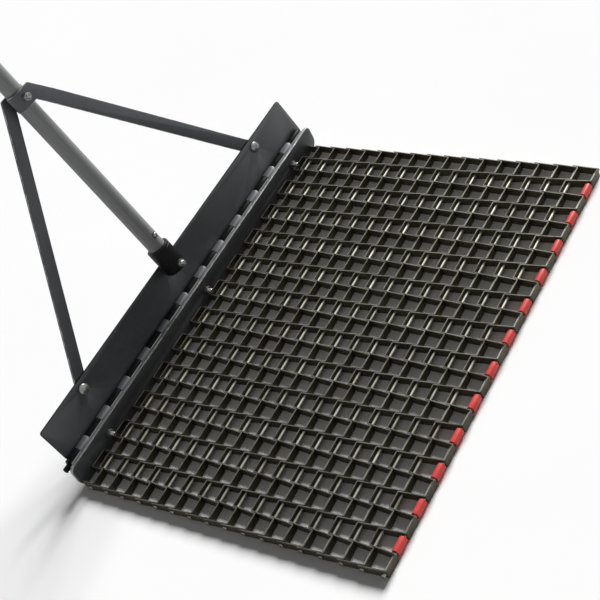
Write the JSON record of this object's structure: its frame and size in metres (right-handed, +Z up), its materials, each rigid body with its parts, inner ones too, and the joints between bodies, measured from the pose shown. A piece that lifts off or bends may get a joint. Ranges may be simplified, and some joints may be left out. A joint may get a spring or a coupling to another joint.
{
  "type": "drag mat",
  "caption": "Hand-drawn drag mat: belt of flat-wire strips on cross rods behind a hinged steel bar, leaning leader plate, tubular pole and two flat braces.",
  "frame": {"origin": "middle of the steel bar's underside, on the ground", "axes": "+X from the bar to the free edge of the mat, +Y along the bar, +Z up"},
  "size_m": [0.8826, 0.6553, 1.4079],
  "materials": {
    "strip_steel": "dark galvanised, worn bright on the edges",
    "rod_steel": "plain drawn wire",
    "red_sleeve": "semi-gloss red sleeves on plain wire",
    "dark_painted_steel": "dark grey powder coat",
    "zinc_plated_steel": "bright zinc plating",
    "pole_steel": "satin grey",
    "black_plastic": "smooth moulded",
    "black_rubber": "matt"
  },
  "bodies": {
    "lead": {"leader_plate": "dark_painted_steel", "hinge_pin": "zinc_plated_steel", "brace_right": "dark_painted_steel", "brace_left": "dark_painted_steel", "pole": "pole_steel", "pole_socket": "black_plastic", "socket_bolt": "zinc_plated_steel", "socket_nut": "zinc_plated_steel", "clamp_bolt": "zinc_plated_steel", "clamp_nut": "zinc_plated_steel", "brace_bolt_right": "zinc_plated_steel", "brace_nut_right": "zinc_plated_steel", "brace_bolt_left": "zinc_plated_steel", "brace_nut_left": "zinc_plated_steel", "hand_grip": "black_rubber"},
    "button": {"snap_button": "zinc_plated_steel"},
    "bar": {"mat_bar": "dark_painted_steel", "hinge_leaf": "dark_painted_steel", "bar_bolt_1": "zinc_plated_steel", "bar_nut_1": "zinc_plated_steel", "bar_bolt_2": "zinc_plated_steel", "bar_nut_2": "zinc_plated_steel", "bar_bolt_3": "zinc_plated_steel", "bar_nut_3": "zinc_plated_steel", "anchor_strip": "strip_steel", "rod_00": "rod_steel"},
    "row_01": {"strip_01": "strip_steel", "rod_01": "rod_steel"},
    "row_02": {"strip_02": "strip_steel", "rod_02": "rod_steel"},
    "row_03": {"strip_03": "strip_steel", "rod_03": "rod_steel"},
    "row_04": {"strip_04": "strip_steel", "rod_04": "rod_steel"},
    "row_05": {"strip_05": "strip_steel", "rod_05": "rod_steel"},
    "row_06": {"strip_06": "strip_steel", "rod_06": "rod_steel"},
    "row_07": {"strip_07": "strip_steel", "rod_07": "rod_steel"},
    "row_08": {"strip_08": "strip_steel", "rod_08": "rod_steel"},
    "row_09": {"strip_09": "strip_steel", "rod_09": "rod_steel"},
    "row_10": {"strip_10": "strip_steel", "rod_10": "rod_steel"},
    "row_11": {"strip_11": "strip_steel", "rod_11": "rod_steel"},
    "row_12": {"strip_12": "strip_steel", "rod_12": "rod_steel"},
    "row_13": {"strip_13": "strip_steel", "rod_13": "rod_steel"},
    "row_14": {"strip_14": "strip_steel", "rod_14": "rod_steel"},
    "row_15": {"strip_15": "strip_steel", "rod_15": "rod_steel"},
    "row_16": {"strip_16": "strip_steel", "rod_16_sleeves": "red_sleeve"}
  },
  "joints": [
    {"name": "bar_hinge", "type": "hinge", "parent": "lead", "child": "bar", "pos_m": [-0.01015, 0.0062, 0.0344], "axis": [0, 1, 0], "range_deg": [-70, 95]},
    {"name": "row_01_hinge", "type": "hinge", "parent": "bar", "child": "row_01", "pos_m": [0.0185, -0.007, 0.00635], "axis": [0, -1, 0], "range_deg": [-18, 15]},
    {"name": "row_02_hinge", "type": "hinge", "parent": "row_01", "child": "row_02", "pos_m": [0.0471, -0.007, 0.00635], "axis": [0, -1, 0], "range_deg": [-18, 15]},
    {"name": "row_03_hinge", "type": "hinge", "parent": "row_02", "child": "row_03", "pos_m": [0.0757, -0.007, 0.00635], "axis": [0, -1, 0], "range_deg": [-18, 15]},
    {"name": "row_04_hinge", "type": "hinge", "parent": "row_03", "child": "row_04", "pos_m": [0.1043, -0.007, 0.00635], "axis": [0, -1, 0], "range_deg": [-18, 15]},
    {"name": "row_05_hinge", "type": "hinge", "parent": "row_04", "child": "row_05", "pos_m": [0.1329, -0.007, 0.00635], "axis": [0, -1, 0], "range_deg": [-18, 15]},
    {"name": "row_06_hinge", "type": "hinge", "parent": "row_05", "child": "row_06", "pos_m": [0.1615, -0.007, 0.00635], "axis": [0, -1, 0], "range_deg": [-18, 15]},
    {"name": "row_07_hinge", "type": "hinge", "parent": "row_06", "child": "row_07", "pos_m": [0.1901, -0.007, 0.00635], "axis": [0, -1, 0], "range_deg": [-18, 15]},
    {"name": "row_08_hinge", "type": "hinge", "parent": "row_07", "child": "row_08", "pos_m": [0.2187, -0.007, 0.00635], "axis": [0, -1, 0], "range_deg": [-18, 15]},
    {"name": "row_09_hinge", "type": "hinge", "parent": "row_08", "child": "row_09", "pos_m": [0.2473, -0.007, 0.00635], "axis": [0, -1, 0], "range_deg": [-18, 15]},
    {"name": "row_10_hinge", "type": "hinge", "parent": "row_09", "child": "row_10", "pos_m": [0.2759, -0.007, 0.00635], "axis": [0, -1, 0], "range_deg": [-18, 15]},
    {"name": "row_11_hinge", "type": "hinge", "parent": "row_10", "child": "row_11", "pos_m": [0.3045, -0.007, 0.00635], "axis": [0, -1, 0], "range_deg": [-18, 15]},
    {"name": "row_12_hinge", "type": "hinge", "parent": "row_11", "child": "row_12", "pos_m": [0.3331, -0.007, 0.00635], "axis": [0, -1, 0], "range_deg": [-18, 15]},
    {"name": "row_13_hinge", "type": "hinge", "parent": "row_12", "child": "row_13", "pos_m": [0.3617, -0.007, 0.00635], "axis": [0, -1, 0], "range_deg": [-18, 15]},
    {"name": "row_14_hinge", "type": "hinge", "parent": "row_13", "child": "row_14", "pos_m": [0.3903, -0.007, 0.00635], "axis": [0, -1, 0], "range_deg": [-18, 15]},
    {"name": "row_15_hinge", "type": "hinge", "parent": "row_14", "child": "row_15", "pos_m": [0.4189, -0.007, 0.00635], "axis": [0, -1, 0], "range_deg": [-18, 15]},
    {"name": "row_16_hinge", "type": "hinge", "parent": "row_15", "child": "row_16", "pos_m": [0.4475, -0.007, 0.00635], "axis": [0, -1, 0], "range_deg": [-18, 15]},
    {"name": "snap_button_slide", "type": "slide", "parent": "lead", "child": "button", "axis": [0.9332, 0.2419, 0.2658], "range_m": [-0.003, 0], "stiffness_N_per_m": 400, "springref_m": 0.002}
  ]
}
